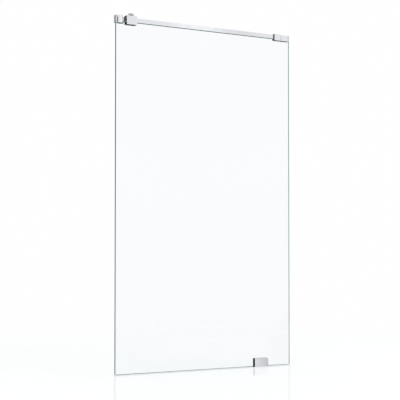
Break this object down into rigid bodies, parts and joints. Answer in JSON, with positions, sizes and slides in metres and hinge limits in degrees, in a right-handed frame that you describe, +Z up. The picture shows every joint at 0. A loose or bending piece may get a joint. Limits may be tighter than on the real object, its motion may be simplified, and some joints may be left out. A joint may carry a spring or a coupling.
{
  "type": "fixed shower glass panel",
  "caption": "Clear fixed glass panel with a flat top bar, a swivelling wall bracket, a bar lock with a turning knob, an end clamp and a floor clamp.",
  "frame": {"origin": "on the floor, under the middle of the glass, half way through its thickness", "axes": "+X along the glass away from the wall, +Y away from the side with the lock block, +Z up"},
  "size_m": [1.103, 0.047, 1.92],
  "materials": {
    "glass": "clear, polished edges",
    "chrome": "polished",
    "steel": "fine brushed",
    "grey_rubber": "satin",
    "dark_rubber": "satin",
    "grey_plastic": "satin moulded",
    "dark_plastic": "satin moulded",
    "white_plastic": "satin moulded"
  },
  "bodies": {
    "panel": {"glass_panel": "glass", "lock_block": "chrome", "lock_bush": "white_plastic", "knob_washer": "white_plastic", "lock_gaskets": "dark_rubber", "lock_grub_screws": "steel", "end_clamp_inner": "chrome", "end_clamp_outer": "chrome", "end_spacer": "dark_plastic", "end_cap": "grey_plastic", "end_tie_screws": "steel", "end_gaskets": "dark_rubber", "end_pressure_plates": "steel", "end_grub_screws": "steel", "floor_plate": "steel", "floor_clamp_front": "chrome", "floor_clamp_back": "chrome", "floor_gaskets": "dark_rubber", "floor_clamp_screws": "steel", "setting_blocks": "dark_plastic"},
    "bar": {"support_bar": "chrome", "bar_end_plug": "dark_plastic", "knuckle": "chrome", "swivel_pin": "steel", "pin_grub_screw": "steel", "bar_fixing_screw": "steel"},
    "wall": {"wall_plate": "chrome", "wall_gasket": "grey_rubber", "swivel_washers": "white_plastic"},
    "knob": {"lock_knob": "chrome", "lock_spindle": "steel", "knob_grub_screw": "steel"},
    "shoe": {"lock_shoe": "steel", "shoe_pad": "dark_rubber"}
  },
  "joints": [
    {"name": "bar_adjust", "type": "slide", "parent": "panel", "child": "bar", "axis": [-1, 0, 0], "range_m": [0, 0.01]},
    {"name": "wall_swivel", "type": "hinge", "parent": "bar", "child": "wall", "pos_m": [-0.5257, 0, 1.8881], "axis": [0, 0, 1], "range_deg": [-20, 20]},
    {"name": "lock_knob_turn", "type": "hinge", "parent": "panel", "child": "knob", "pos_m": [-0.4655, -0.01405, 1.9146], "axis": [0, 0, 1], "range_deg": [0, 90]},
    {"name": "lock_shoe_travel", "type": "slide", "parent": "panel", "child": "shoe", "axis": [0, -1, 0], "range_m": [0, 0.001]}
  ],
  "couplings": [
    {"joint": "lock_shoe_travel", "follows": "lock_knob_turn", "m_per_rad": 0.00063662}
  ]
}
